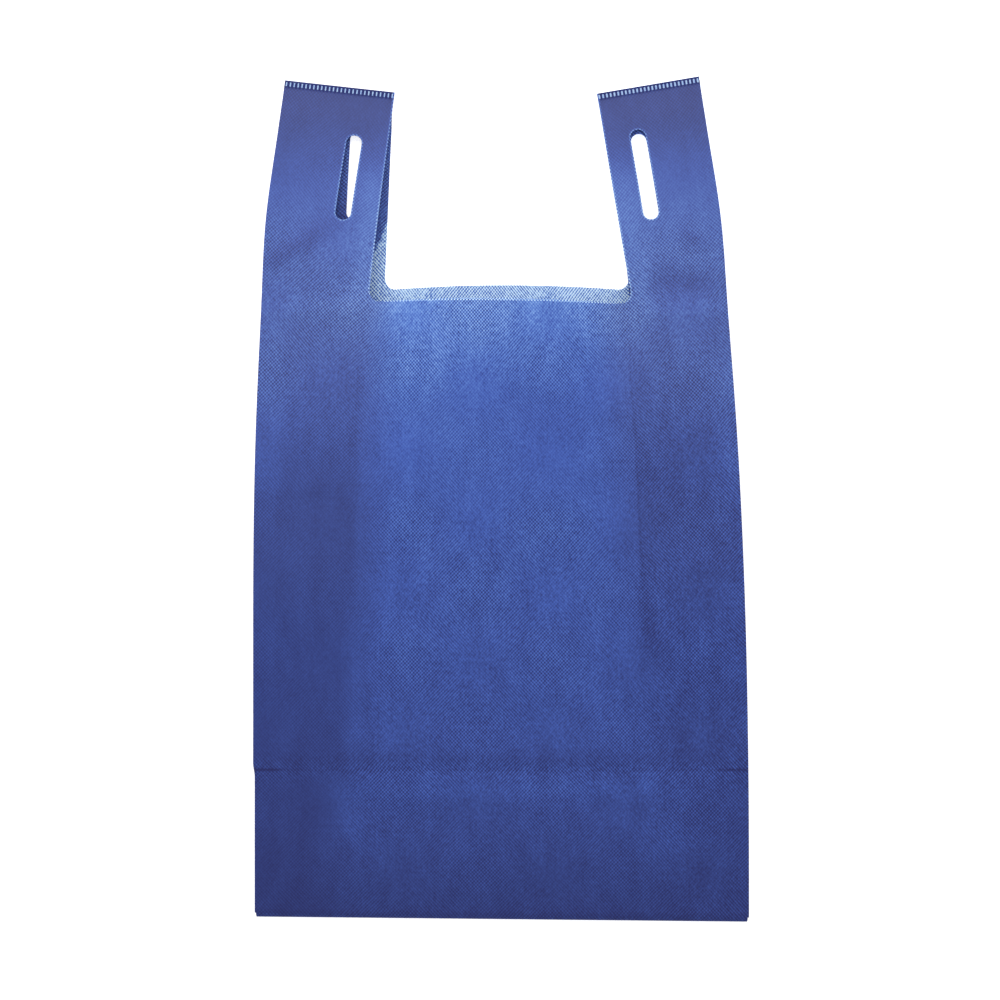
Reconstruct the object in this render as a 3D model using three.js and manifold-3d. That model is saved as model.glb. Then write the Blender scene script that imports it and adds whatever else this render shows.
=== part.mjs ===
// A reusable shopping bag of welded non-woven fabric, made as one gusseted tube: its mouth and its vest
// handles are punched out and its bottom is folded up behind.
// It lies on its back. X runs across the bag, Y towards the handle tops and Z up, all in millimetres.
import * as THREE from "three";
import { mergeVertices } from "three/addons/utils/BufferGeometryUtils.js";
import Module from "manifold-3d";

const wasm = await Module();
wasm.setup();

// The tube, as it lies folded flat.
const BAG_WIDTH = 300;
const BAG_HEIGHT = 511.5; // bottom fold to handle tops
const GUSSET_DEPTH = 58; // outer fold to the fold inside
const FABRIC = 0.5; // one layer
const LAYER_GAP = 0.6; // air between the layers of a side
const PRESSED_GAP = 0.1; // what is left of it where the layers are welded

// The mouth and the handles, punched through the flat tube.
const MOUTH_WIDTH = 172; // between the handle tops
const MOUTH_SPREAD = { leftFront: 1.8, leftBack: 0.4, right: 4.4 }; // what each side adds down at its corner
const MOUTH_DEPTH_FRONT = 129.5; // handle tops to the middle of the front edge
const MOUTH_DEPTH_BACK = 122;
const MOUTH_CROWN = 2.6; // the middle of the mouth's edge stands this far above its corners
const MOUTH_SLANT_BACK = 3.4; // the back edge's right end stands this far above its left end
const MOUTH_CORNER_RADIUS = 7;
const PUNCH_OFFSET = 2.3; // everything punched sits this far right of the middle
const SLOT_WIDTH = 9.2;
const SLOT_LENGTH = 53;
const SLOT_SPACING = 213.6;
const SLOT_DROP = 55.6; // handle tops to the slots' middle
const SLOT_TILT = 1.5; // degrees in the front layers, tops towards the middle

// The weld that closes each handle top, and its row of dashes.
const WELD_HEIGHT = 5;
const WELD_RUN_IN = 18; // length over which the layers come together below the weld
const DASH_WIDTH = 1.1;
const DASH_LENGTH = 3.3;
const DASHES_LEFT = 28;
const DASHES_RIGHT = 27;
const DASH_RIM = 0.9; // plain fabric above the dashes
const DASH_DEPTH = 0.2;

// The folded bottom: a flap of two pressed layers turned up behind the back panel.
const FLAP_HEIGHT = 92;
const FLAP_GAP = 0.5; // between flap and back panel
const FLAP_EAR = 0.7; // the flap's upper corners stand this far past the sides
const FLAP_RAMP = 34; // length over which the back panel comes down to the surface above the flap
const FOLD_ROUND = 2.6; // reach of the rounded bottom fold
const CREASE_DEPTH = 0.7; // of the line that the flap presses into the front
const CREASE_WIDTH = 4;
const BOTTOM_SLANT = 3.1; // the bottom's left end lies this far above its right end

// How the bag lies: how far the front stands up, and how far each side leans in at the top.
const BILLOW = 28;
const LOW_BILLOW = 3; // over the flap
const BILLOW_SHAPE = 1.6; // over 1, so that the front leaves its side folds level
const LEAN_LEFT_FRONT = { reach: 19.4, start: 180, power: 2.4 };
const LEAN_LEFT_BACK = { reach: 18.4, start: 20, power: 1 };
const LEAN_RIGHT = { reach: 30.3, start: 0, power: 2.62 };
const LEFT_SLIP = 2.4; // the left handle's top lies this much lower than the right one's
const TOP_SKEW = { left: -0.03, right: 0.015 }; // extra slope of each handle's top
const SIDE_BOW = { reach: 1.8, middle: 425, spread: 42 }; // bowing out of each handle's outer fold
const LOW_INSET_LEFT = 1; // the left side is this much narrower below the crease

// How finely the curved front, the folds and the punched outlines are divided.
const FRONT_COLUMNS = 20;
const BACK_COLUMNS = 5;
const LEAF_COLUMNS = 3;
const PANEL_STEP = 24;
const OUTLINE_STEP = 10;
const CORNER_STEPS = 6;
const FOLD_STEPS = 8;
const SAME_POINT = 1e-4; // points closer than this are one

const halfWidth = BAG_WIDTH / 2;
const foldedSide = 4 * FABRIC + 3 * LAYER_GAP;
const bodyLift = 2 * FABRIC + FLAP_GAP;
const weldStart = BAG_HEIGHT - WELD_HEIGHT;
const splitLevel = foldedSide / 2; // between the two leaves of a gusset

const smooth = (from, to, value) => THREE.MathUtils.smoothstep(value, from, to);
const mix = THREE.MathUtils.lerp;

// How far a side has moved in at a height, and its slope there.
function leanAt(lean, y) {
  const run = BAG_HEIGHT - lean.start;
  const share = Math.max(0, (y - lean.start) / run);
  return {
    shift: lean.reach * share ** lean.power,
    slope: share > 0 ? ((lean.reach * lean.power) / run) * share ** (lean.power - 1) : 0,
  };
}

// Where a point of the flat tube comes to lie. back is 0 on the front layers and 1 on the back ones.
// Each handle moves in with its side, turns by its slope and bows out at its outer fold; the panel between
// the handles shares their moves.
function lay(x, y, back) {
  const edge = MOUTH_WIDTH / 2;
  const side = THREE.MathUtils.clamp((x - PUNCH_OFFSET + edge) / (2 * edge), 0, 1);
  const leftFront = leanAt(LEAN_LEFT_FRONT, y);
  const leftBack = leanAt(LEAN_LEFT_BACK, y);
  const right = leanAt(LEAN_RIGHT, y);
  const inset = LOW_INSET_LEFT * (1 - smooth(FLAP_HEIGHT - CREASE_WIDTH, FLAP_HEIGHT + CREASE_WIDTH, y));
  const loose = 1 - smooth(weldStart - WELD_RUN_IN, weldStart, y); // how far the weld lets the layers shift
  const free = 1 - smooth(weldStart - SLOT_DROP, weldStart, y); // and how far it lets them turn
  const atTop = smooth(weldStart - WELD_RUN_IN, BAG_HEIGHT, y);
  const leftSlope = mix(leftFront.slope, leftBack.slope, back * free) + TOP_SKEW.left * atTop;
  const rightSlope = right.slope + TOP_SKEW.right * atTop;
  const leftHandle = halfWidth - edge + PUNCH_OFFSET;
  const rightHandle = halfWidth - edge - PUNCH_OFFSET;
  const leftReach = Math.min(x + halfWidth, leftHandle);
  const rightReach = Math.min(halfWidth - x, rightHandle);
  const drop = mix(leftSlope * leftReach, rightSlope * rightReach, side);
  const bow = SIDE_BOW.reach * Math.exp(-(((y - SIDE_BOW.middle) / SIDE_BOW.spread) ** 2));
  const leftLean = mix(leftFront.shift, leftBack.shift, back * loose);
  const leftShift = leftLean + inset - bow * (1 - leftReach / leftHandle);
  const rightShift = right.shift - bow * (1 - rightReach / rightHandle);
  const slant = BOTTOM_SLANT * (0.5 - x / BAG_WIDTH) * Math.max(0, 1 - y / FLAP_HEIGHT);
  const slip = LEFT_SLIP * (1 - side) * smooth(BAG_HEIGHT - MOUTH_DEPTH_FRONT, BAG_HEIGHT, y);
  return [x + mix(leftShift, -rightShift, side), y - drop + slant - slip];
}

// Height of the front panel above its side folds.
function billow(x, y) {
  const mouth = BAG_HEIGHT - MOUTH_DEPTH_FRONT;
  const across = Math.max(0, 1 - (x / halfWidth) ** 2) ** BILLOW_SHAPE;
  const low = LOW_BILLOW * smooth(0, FLAP_HEIGHT / 2, y);
  const high = (BILLOW - LOW_BILLOW) * smooth(FLAP_HEIGHT / 2, mouth, y);
  const fall = 1 - smooth(mouth, weldStart, y);
  const crease = CREASE_DEPTH * Math.exp(-(((y - FLAP_HEIGHT) / CREASE_WIDTH) ** 2));
  return across * ((low + high) * fall - crease);
}

const lift = (y) => bodyLift * (1 - smooth(FLAP_HEIGHT, FLAP_HEIGHT + FLAP_RAMP, y));
const gapAt = (y) => mix(LAYER_GAP, PRESSED_GAP, smooth(weldStart - WELD_RUN_IN, weldStart, y));

// The middle line of the fabric round the tube at one height, as [x, z, back] in the flat frame.
// It runs over the front, in and out of the right gusset, under the back and through the left gusset.
function ringAt(y) {
  const pitch = FABRIC + gapAt(y);
  const base = FABRIC / 2 + lift(y);
  const level = (n) => base + n * pitch;
  const outer = halfWidth - FABRIC / 2 - pitch / 2;
  const inner = halfWidth - GUSSET_DEPTH + FABRIC / 2 + pitch / 2;
  const run = (columns, from, to, point) =>
    Array.from({ length: columns + 1 }, (_, i) => point(mix(from, to, i / columns), i / columns));
  const front = run(FRONT_COLUMNS, -outer, outer, (x) => [x, level(3) + billow(x, y), 0]);
  const right = [
    [outer + pitch / 2, level(2.5), 0],
    ...run(LEAF_COLUMNS, outer, inner, (x, share) => [x, level(2), share / 2]),
    [inner - pitch / 2, level(1.5), 0.5],
    ...run(LEAF_COLUMNS, inner, outer, (x, share) => [x, level(1), (1 + share) / 2]),
    [outer + pitch / 2, level(0.5), 1],
  ];
  const back = run(BACK_COLUMNS, outer, -outer, (x) => [x, level(0), 1]);
  const left = right.map(([x, z, share]) => [-x, z, share]).reverse();
  return [...front, ...right, ...back, ...left];
}

// Heights at which the tube's section is taken: close together at the folds, wider on the plain panels.
function sectionHeights() {
  const mouth = BAG_HEIGHT - MOUTH_DEPTH_FRONT;
  const stops = [
    FOLD_ROUND / 2,
    FLAP_HEIGHT - 2 * CREASE_WIDTH,
    FLAP_HEIGHT - CREASE_WIDTH,
    FLAP_HEIGHT,
    FLAP_HEIGHT + CREASE_WIDTH,
    FLAP_HEIGHT + 2 * CREASE_WIDTH,
    FLAP_HEIGHT + FLAP_RAMP,
    mouth,
    weldStart - WELD_RUN_IN,
    weldStart - WELD_RUN_IN / 2,
    weldStart,
    BAG_HEIGHT,
  ];
  const heights = [stops[0]];
  for (let i = 1; i < stops.length; i++) {
    const steps = Math.max(1, Math.round((stops[i] - stops[i - 1]) / PANEL_STEP));
    for (let k = 1; k <= steps; k++) heights.push(mix(stops[i - 1], stops[i], k / steps));
  }
  return heights;
}

// A closed mesh from rows of points that join end to end both along and across the rows.
function closedGrid(rows) {
  const across = rows[0].length;
  const index = [];
  rows.forEach((row, r) => {
    const next = (r + 1) % rows.length;
    row.forEach((_, c) => {
      const d = (c + 1) % across;
      const [a, b, e, f] = [r * across + c, r * across + d, next * across + d, next * across + c];
      index.push(a, b, e, a, e, f);
    });
  });
  const geometry = new THREE.BufferGeometry();
  geometry.setAttribute("position", new THREE.Float32BufferAttribute(rows.flat(2), 3));
  geometry.setIndex(index);
  return geometry;
}

// The tube's wall: each section's middle line, moved half a layer out and half a layer in.
function tubeWall() {
  const skins = { outside: [], inside: [] };
  for (const y of sectionHeights()) {
    const line = ringAt(y).map(([x, z, back]) => {
      const [lx, ly] = lay(x, y, back);
      return [lx, ly, z];
    });
    const count = line.length;
    const moved = (distance) =>
      line.map(([x, ly, z], i) => {
        const before = line[(i + count - 1) % count];
        const after = line[(i + 1) % count];
        const run = Math.hypot(after[0] - before[0], after[2] - before[2]);
        return [
          x - (distance * (after[2] - before[2])) / run,
          ly,
          z + (distance * (after[0] - before[0])) / run,
        ];
      });
    skins.outside.push(moved(FABRIC / 2));
    skins.inside.push(moved(-FABRIC / 2));
  }
  return closedGrid([...skins.inside.reverse(), ...skins.outside]);
}

// A flat outline between two levels. The outline is a list of [x, y].
function plate(outline, low, high) {
  const shape = new THREE.Shape(outline.map(([x, y]) => new THREE.Vector2(x, y)));
  return new THREE.ExtrudeGeometry(shape, { depth: high - low, bevelEnabled: false }).translate(0, 0, low);
}

// Points along a flat outline's straight stretches, close enough to bend with the cloth.
function divided(corners) {
  return corners.flatMap(([x, y], i) => {
    const [nx, ny] = corners[(i + 1) % corners.length];
    const steps = Math.max(1, Math.ceil(Math.hypot(nx - x, ny - y) / OUTLINE_STEP));
    return Array.from({ length: steps }, (_, k) => [mix(x, nx, k / steps), mix(y, ny, k / steps)]);
  });
}

const laid = (outline, back) => outline.map(([x, y]) => lay(x, y, back));

// A round arc about a centre, from one angle to another in degrees.
function arc(cx, cy, radius, from, to) {
  return Array.from({ length: CORNER_STEPS + 1 }, (_, i) => {
    const angle = THREE.MathUtils.degToRad(mix(from, to, i / CORNER_STEPS));
    return [cx + radius * Math.cos(angle), cy + radius * Math.sin(angle)];
  });
}

// The mouth with its rounded corners and sides that spread in a curve, open past the handle tops.
function mouthOutline(depth, spreadLeft, spreadRight, slant) {
  const radius = MOUTH_CORNER_RADIUS;
  const corner = BAG_HEIGHT - depth - MOUTH_CROWN;
  const half = MOUTH_WIDTH / 2;
  const low = half + spreadLeft - radius;
  const high = half + spreadRight - radius;
  const edgeSteps = Math.ceil(MOUTH_WIDTH / OUTLINE_STEP);
  const edge = Array.from({ length: edgeSteps - 1 }, (_, i) => {
    const share = (i + 1) / edgeSteps;
    return [mix(-low, high, share), corner + 4 * MOUTH_CROWN * share * (1 - share) + slant * (share - 0.5)];
  });
  const sideSteps = Math.ceil(depth / OUTLINE_STEP);
  const rise = depth + MOUTH_CROWN - radius;
  const sides = Array.from({ length: sideSteps + 1 }, (_, i) => (i + 1) / sideSteps);
  const sideAt = (spread, share) => half + spread * Math.max(0, 1 - share) ** 2;
  const outline = [
    ...arc(-low, corner + radius - slant / 2, radius, 180, 270),
    ...edge,
    ...arc(high, corner + radius + slant / 2, radius, 270, 360),
    ...sides.map((share) => [sideAt(spreadRight, share), corner + radius + rise * share]),
    ...sides.map((share) => [-sideAt(spreadLeft, share), corner + radius + rise * share]).reverse(),
  ];
  return outline.map(([x, y]) => [x + PUNCH_OFFSET, y]);
}

// A handle's hand slot with round ends. side is -1 on the left and 1 on the right.
function slotOutline(side, lean) {
  const radius = SLOT_WIDTH / 2;
  const half = SLOT_LENGTH / 2 - radius;
  const tilt = THREE.MathUtils.degToRad(lean * side);
  const outline = divided([...arc(0, half, radius, 0, 180), ...arc(0, -half, radius, 180, 360)]);
  return outline.map(([x, y]) => [
    PUNCH_OFFSET + (side * SLOT_SPACING) / 2 + x * Math.cos(tilt) - y * Math.sin(tilt),
    BAG_HEIGHT - SLOT_DROP + x * Math.sin(tilt) + y * Math.cos(tilt),
  ]);
}

// From the handle's outer fold to its inner edge at the top, in the flat frame.
function handleSpan(side) {
  const inner = (side * MOUTH_WIDTH) / 2 + PUNCH_OFFSET;
  const outer = side * (halfWidth - FABRIC / 2);
  return side < 0 ? [outer, inner] : [inner, outer];
}

const box = (x0, x1, y0, y1) => [[x0, y0], [x1, y0], [x1, y1], [x0, y1]];

// The fused strip inside a handle top, between the middles of its lowest and highest layers.
function weldBar(side) {
  const [from, to] = handleSpan(side);
  const stack = 4 * FABRIC + 3 * PRESSED_GAP;
  const strip = divided(box(from, to, weldStart, BAG_HEIGHT - PRESSED_GAP));
  return plate(laid(strip, 0), FABRIC / 2, stack - FABRIC / 2);
}

// The row of pressed dashes along a handle top, spread evenly over it.
function dashes(side, count) {
  const [from, to] = handleSpan(side);
  const top = 4 * FABRIC + 3 * PRESSED_GAP;
  const high = BAG_HEIGHT - DASH_RIM;
  return Array.from({ length: count }, (_, i) => {
    const x = mix(from, to, (i + 0.5) / count);
    const outline = box(x - DASH_WIDTH / 2, x + DASH_WIDTH / 2, high - DASH_LENGTH, high);
    return plate(laid(outline, 0), top - DASH_DEPTH, top + FABRIC);
  });
}

// The flap behind the back panel: two pressed layers, a little wider at its upper corners.
function bottomFlap() {
  const low = halfWidth - FLAP_EAR;
  const high = halfWidth + FLAP_EAR;
  const outline = [[-low, FOLD_ROUND / 2], [low, FOLD_ROUND / 2], [high, FLAP_HEIGHT], [-high, FLAP_HEIGHT]];
  return plate(laid(outline, 1), 0, 2 * FABRIC);
}

// The bottom edge, where the front turns under into the flap: a rounded fold right across the bag.
function bottomFold() {
  const high = bodyLift + foldedSide;
  const profile = new THREE.Shape();
  profile.moveTo(FOLD_ROUND, 0);
  profile.lineTo(FOLD_ROUND, high);
  profile.absellipse(FOLD_ROUND, high / 2, FOLD_ROUND, high / 2, Math.PI / 2, (3 * Math.PI) / 2);
  const length = BAG_WIDTH - 2 * FLAP_EAR;
  const options = { depth: length, curveSegments: FOLD_STEPS, bevelEnabled: false };
  const fold = new THREE.ExtrudeGeometry(profile, options);
  fold.translate(0, 0, -length / 2).rotateY(Math.PI / 2).rotateX(Math.PI / 2);
  const position = fold.getAttribute("position");
  for (let i = 0; i < position.count; i++) {
    const [x, y] = lay(position.getX(i), position.getY(i), 1);
    position.setXY(i, x, y);
  }
  return fold;
}

function solidOf(geometry) {
  geometry.deleteAttribute("normal");
  geometry.deleteAttribute("uv");
  const merged = mergeVertices(geometry, SAME_POINT);
  return new wasm.Manifold(
    new wasm.Mesh({
      numProp: 3,
      vertProperties: new Float32Array(merged.getAttribute("position").array),
      triVerts: new Uint32Array(merged.index.array),
    }),
  );
}

function geometryOf(solid) {
  const mesh = solid.getMesh();
  const geometry = new THREE.BufferGeometry();
  geometry.setAttribute("position", new THREE.BufferAttribute(mesh.vertProperties, 3));
  geometry.setIndex(new THREE.BufferAttribute(mesh.triVerts, 1));
  geometry.computeVertexNormals();
  return geometry;
}

// Everything punched out: mouth and slots, the front layers and the back layers each where they lie.
function punchings() {
  const above = bodyLift + foldedSide + 2 * BILLOW;
  const below = -FABRIC;
  const through = (frontOutline, backOutline) => [
    plate(laid(frontOutline, 0), splitLevel, above),
    plate(laid(backOutline, 1), below, splitLevel),
  ];
  return [
    ...through(
      mouthOutline(MOUTH_DEPTH_FRONT, MOUTH_SPREAD.leftFront, MOUTH_SPREAD.right, 0),
      mouthOutline(MOUTH_DEPTH_BACK, MOUTH_SPREAD.leftBack, MOUTH_SPREAD.right, MOUTH_SLANT_BACK),
    ),
    ...through(slotOutline(-1, SLOT_TILT), slotOutline(-1, 0)),
    ...through(slotOutline(1, SLOT_TILT), slotOutline(1, SLOT_TILT)),
  ];
}

function bagGeometry() {
  const joined = [weldBar(-1), weldBar(1), bottomFlap(), bottomFold()];
  const cut = [...punchings(), ...dashes(-1, DASHES_LEFT), ...dashes(1, DASHES_RIGHT)];
  const whole = joined.reduce((solid, piece) => solid.add(solidOf(piece)), solidOf(tubeWall()));
  return geometryOf(cut.reduce((solid, piece) => solid.subtract(solidOf(piece)), whole));
}

const nonwoven = new THREE.MeshStandardMaterial({ color: 0x3f57a4, roughness: 0.85, metalness: 0 });
const bag = new THREE.Mesh(bagGeometry(), nonwoven);
bag.name = "bag_body";

// The frame's origin is under the middle of the bag, on the surface that it lies on.
bag.geometry.computeBoundingBox();
const middle = bag.geometry.boundingBox.getCenter(new THREE.Vector3());
bag.position.set(-middle.x, -middle.y, -bag.geometry.boundingBox.min.z);

const root = new THREE.Group();
root.add(bag);
export default root;
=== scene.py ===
"""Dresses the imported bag: a gusseted tube of non-woven cloth, two handle welds and the studio round them."""

import math

import bpy
import numpy as np
from bpy.props import FloatProperty, FloatVectorProperty, PointerProperty
from bpy.types import Operator, Panel, PropertyGroup
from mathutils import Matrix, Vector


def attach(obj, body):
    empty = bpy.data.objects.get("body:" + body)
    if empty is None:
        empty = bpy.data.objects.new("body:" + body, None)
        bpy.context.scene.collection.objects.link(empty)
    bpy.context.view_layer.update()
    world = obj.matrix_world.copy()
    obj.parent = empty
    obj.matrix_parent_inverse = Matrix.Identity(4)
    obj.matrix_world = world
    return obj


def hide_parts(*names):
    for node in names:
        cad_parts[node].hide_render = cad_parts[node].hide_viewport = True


bl_info = {
    "name": "Vest-handled shopping bag",
    "version": (1, 0, 0),
    "blender": (4, 5, 0),
    "location": "3D View > Sidebar > Bag",
    "description": "Builds a folded non-woven shopping bag round its packed solid",
    "category": "Add Mesh",
}

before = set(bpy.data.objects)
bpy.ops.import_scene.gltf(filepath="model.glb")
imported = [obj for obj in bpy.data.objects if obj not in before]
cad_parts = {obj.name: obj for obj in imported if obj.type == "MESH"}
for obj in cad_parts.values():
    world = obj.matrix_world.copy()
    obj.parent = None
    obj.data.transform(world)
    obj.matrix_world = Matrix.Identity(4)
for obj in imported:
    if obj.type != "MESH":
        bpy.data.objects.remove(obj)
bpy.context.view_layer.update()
BODY = "root"
NODE = "bag_body"

# The pattern, in millimetres, as the solid has it.
# X is across, and Y runs from the bottom fold to the handle tops.
MM = 0.001
BAG_WIDTH = 300.0
BAG_HEIGHT = 511.5
GUSSET_DEPTH = 58.0
FABRIC = 0.5
LAYER_GAP = 0.6
PRESSED_GAP = 0.1
MOUTH_WIDTH = 172.0
MOUTH_SPREAD_LEFT_FRONT = 1.8
MOUTH_SPREAD_LEFT_BACK = 0.4
MOUTH_SPREAD_RIGHT = 4.4
MOUTH_DEPTH_FRONT = 129.5
MOUTH_DEPTH_BACK = 122.0
MOUTH_CROWN = 2.6
MOUTH_SLANT_BACK = 3.4
MOUTH_CORNER_RADIUS = 7.0
PUNCH_OFFSET = 2.3
SLOT_WIDTH = 9.2
SLOT_LENGTH = 53.0
SLOT_SPACING = 213.6
SLOT_DROP = 55.6
SLOT_TILT = math.radians(1.5)
WELD_HEIGHT = 5.0
WELD_RUN_IN = 18.0
DASH_WIDTH = 1.1
DASH_LENGTH = 3.3
DASHES_LEFT = 28
DASHES_RIGHT = 27
DASH_RIM = 0.9
DASH_DEPTH = 0.2
FLAP_HEIGHT = 92.0
FLAP_GAP = 0.5
FLAP_EAR = 0.7
FLAP_RAMP = 34.0
FOLD_ROUND = 2.6
CREASE_DEPTH = 0.7
CREASE_WIDTH = 4.0
BOTTOM_SLANT = 3.1
BILLOW = 28.0
LOW_BILLOW = 3.0
BILLOW_SHAPE = 1.6
LEAN_LEFT_FRONT = (19.4, 180.0, 2.4)  # reach, start and power
LEAN_LEFT_BACK = (18.4, 20.0, 1.0)
LEAN_RIGHT = (30.3, 0.0, 2.62)
LEFT_SLIP = 2.4
TOP_SKEW_LEFT = -0.03
TOP_SKEW_RIGHT = 0.015
SIDE_BOW = (1.8, 425.0, 42.0)  # reach, middle and spread
LOW_INSET_LEFT = 1.0
MIDDLE = (0.18, 255.73)  # of the laid bag's outline, as the pattern has it

# Only here: how far the layers' slots have slipped past one another.
SLOT_SLIP = 2.4  # how much lower the two lower layers' left slot reaches
SLOT_SHIFT = SLOT_SLIP / 3  # how far that slot lies to the right
SLOT_LIP_LEFT = 1.0  # how much higher the left slot reaches
SLOT_LIP_RIGHT = 2.6  # how much higher the front's right slot reaches than the layers under it

HALF = BAG_WIDTH / 2
FOLDED_SIDE = 4 * FABRIC + 3 * LAYER_GAP
BODY_LIFT = 2 * FABRIC + FLAP_GAP
WELD_START = BAG_HEIGHT - WELD_HEIGHT
SLOT_MIDDLE = BAG_HEIGHT - SLOT_DROP
FRONT_CORNER = BAG_HEIGHT - MOUTH_DEPTH_FRONT - MOUTH_CROWN
BACK_CORNER = BAG_HEIGHT - MOUTH_DEPTH_BACK - MOUTH_CROWN

# Levels of the four layers on the surface, the two sides, and the two ways a fold can round.
FRONT, UPPER_LEAF, LOWER_LEAF, BACK = 3.0, 2.0, 1.0, 0.0
LEFT, RIGHT = -1, 1
OUTWARD, INWARD = 1, -1

# How finely the cloth is divided.
ROW_STEP = 3.2
HANDLE_COLUMNS = 20
MOUTH_COLUMNS = 56
BACK_HANDLE_COLUMNS = 14
BACK_MOUTH_COLUMNS = 24
LEAF_COLUMNS = 14
FOLD_COLUMNS = 3
SLOT_RINGS = 3
SLOT_MARGIN = 4.4
CORNER_STEPS = 5
CREASE_ROWS = 9
CREASE_REACH = 2  # how many crease widths to each side have the closer rows
WELD_ROWS = (-WELD_RUN_IN, -1.2, 0.0, 1.5)  # from the weld's start
FOLD_STEPS = 8
FLAP_STEPS = 21
EDGE_STEPS = 5
RETURN_STEPS = 9
FLAP_EDGE = 0.28  # radius of the flap's upper edge

# How the crown and slant of a mouth's edge fade out, from its corner.
CROWN_BELOW = 70
CROWN_HOLD = 10
CROWN_ABOVE = 60

# Waves: seed, shortest and longest length, and how many. Lengths and heights are in millimetres.
RAISED_WAVES = (11, 90.0, 220.0, 6)
RAISED_RUN = (0.2, 2.0)  # the sum of waves at which the bag leaves the surface, and is fully up
RAISED_HEIGHT = 0.9
BROAD_WAVES = (5, 45.0, 130.0, 12)
BROAD_HEIGHT = 0.45
FINE_WAVES = (8, 18.0, 40.0, 14)
FINE_HEIGHT = 0.16
LOOSE_LIFT = 0.5  # how far the loose front stands off beside its waves
LOOSE_SHAPE = 0.7
LOOSE_TOP = 60  # length below the weld over which the front comes to rest
LOOSE_BOTTOM = 20.0
LEAST_BILLOW = 0.5  # the share of the billow that the front always keeps
DEEPEST_DIP = 0.2

SHARP_ANGLE = math.radians(52)
TINY = 1e-9  # keeps a power off nought


def smooth(low, high, value):
    """3t^2 - 2t^3, where t is how far value is from low to high, held between 0 and 1."""
    t = np.clip((value - low) / (high - low), 0.0, 1.0)
    return t * t * (3.0 - 2.0 * t)


def fade(low, high, value):
    """1 below low and 0 above high, with a smooth fall between."""
    return 1 - smooth(low, high, value)


def band(rise_from, rise_to, fall_from, fall_to, value):
    """1 from rise_to to fall_from, with a smooth rise before it and a smooth fall after it."""
    return smooth(rise_from, rise_to, value) * fade(fall_from, fall_to, value)


def bell(middle, width, value):
    """e^(-((value - middle) / width)^2)."""
    return np.exp(-(((value - middle) / width) ** 2))


def along(start, end, value, most=1.0):
    """The share of the way from start to end, held between 0 and most."""
    return np.clip((value - start) / (end - start), 0.0, most)


def mix(a, b, t):
    """a + (b - a) t."""
    return a + (b - a) * t


def lean_at(lean, y):
    """How far a side has moved in at a height, reach * share^power, and the slope of that."""
    reach, start, power = lean
    run = BAG_HEIGHT - start
    share = np.clip((y - start) / run, 0.0, None)
    slope = np.where(share > 0, reach * power / run * np.maximum(share, TINY) ** (power - 1), 0.0)
    return reach * share**power, slope


def lay(x, y, back):
    """Where a flat point comes to lie: each handle moves in with its side, turns by its slope and bows."""
    edge = MOUTH_WIDTH / 2
    side = np.clip((x - PUNCH_OFFSET + edge) / (2 * edge), 0.0, 1.0)
    front_shift, front_slope = lean_at(LEAN_LEFT_FRONT, y)
    back_shift, back_slope = lean_at(LEAN_LEFT_BACK, y)
    right_shift, right_slope = lean_at(LEAN_RIGHT, y)
    inset = LOW_INSET_LEFT * fade(FLAP_HEIGHT - CREASE_WIDTH, FLAP_HEIGHT + CREASE_WIDTH, y)
    loose = fade(WELD_START - WELD_RUN_IN, WELD_START, y)
    free = fade(WELD_START - SLOT_DROP, WELD_START, y)
    at_top = smooth(WELD_START - WELD_RUN_IN, BAG_HEIGHT, y)
    left_slope = mix(front_slope, back_slope, back * free) + TOP_SKEW_LEFT * at_top
    right_slope = right_slope + TOP_SKEW_RIGHT * at_top
    left_handle = HALF - edge + PUNCH_OFFSET
    right_handle = HALF - edge - PUNCH_OFFSET
    left_reach = np.minimum(x + HALF, left_handle)
    right_reach = np.minimum(HALF - x, right_handle)
    drop = mix(left_slope * left_reach, right_slope * right_reach, side)
    bow_reach, bow_middle, bow_spread = SIDE_BOW
    bow = bow_reach * bell(bow_middle, bow_spread, y)
    left_shift = mix(front_shift, back_shift, back * loose) + inset - bow * (1 - left_reach / left_handle)
    right_shift = right_shift - bow * (1 - right_reach / right_handle)
    slant = BOTTOM_SLANT * (0.5 - x / BAG_WIDTH) * np.maximum(0.0, 1 - y / FLAP_HEIGHT)
    slip = LEFT_SLIP * (1 - side) * smooth(BAG_HEIGHT - MOUTH_DEPTH_FRONT, BAG_HEIGHT, y)
    laid_x = x + mix(left_shift, -right_shift, side) - MIDDLE[0]
    return laid_x, y - drop + slant - slip - MIDDLE[1]


def billow(x, y):
    """How far the front stands up: (1 - (x/half)^2)^shape across, times a rise from the flap to the mouth."""
    mouth = BAG_HEIGHT - MOUTH_DEPTH_FRONT
    across = np.maximum(0.0, 1 - (x / HALF) ** 2) ** BILLOW_SHAPE
    low = LOW_BILLOW * smooth(0.0, FLAP_HEIGHT / 2, y)
    high = (BILLOW - LOW_BILLOW) * smooth(FLAP_HEIGHT / 2, mouth, y)
    crease = CREASE_DEPTH * bell(FLAP_HEIGHT, CREASE_WIDTH, y)
    return across * ((low + high) * fade(mouth, WELD_START, y) - crease)


def waves(x, y, seed, shortest, longest, count):
    """The sum of count sines of random heading, phase and length, times sqrt(2 / count)."""
    random = np.random.default_rng(seed)
    total = np.zeros_like(x)
    for _ in range(count):
        length = mix(shortest, longest, random.random())
        heading, phase = random.random(2) * 2 * math.pi
        total += np.sin(2 * math.pi * (x * math.cos(heading) + y * math.sin(heading)) / length + phase)
    return total * math.sqrt(2.0 / count)


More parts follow.
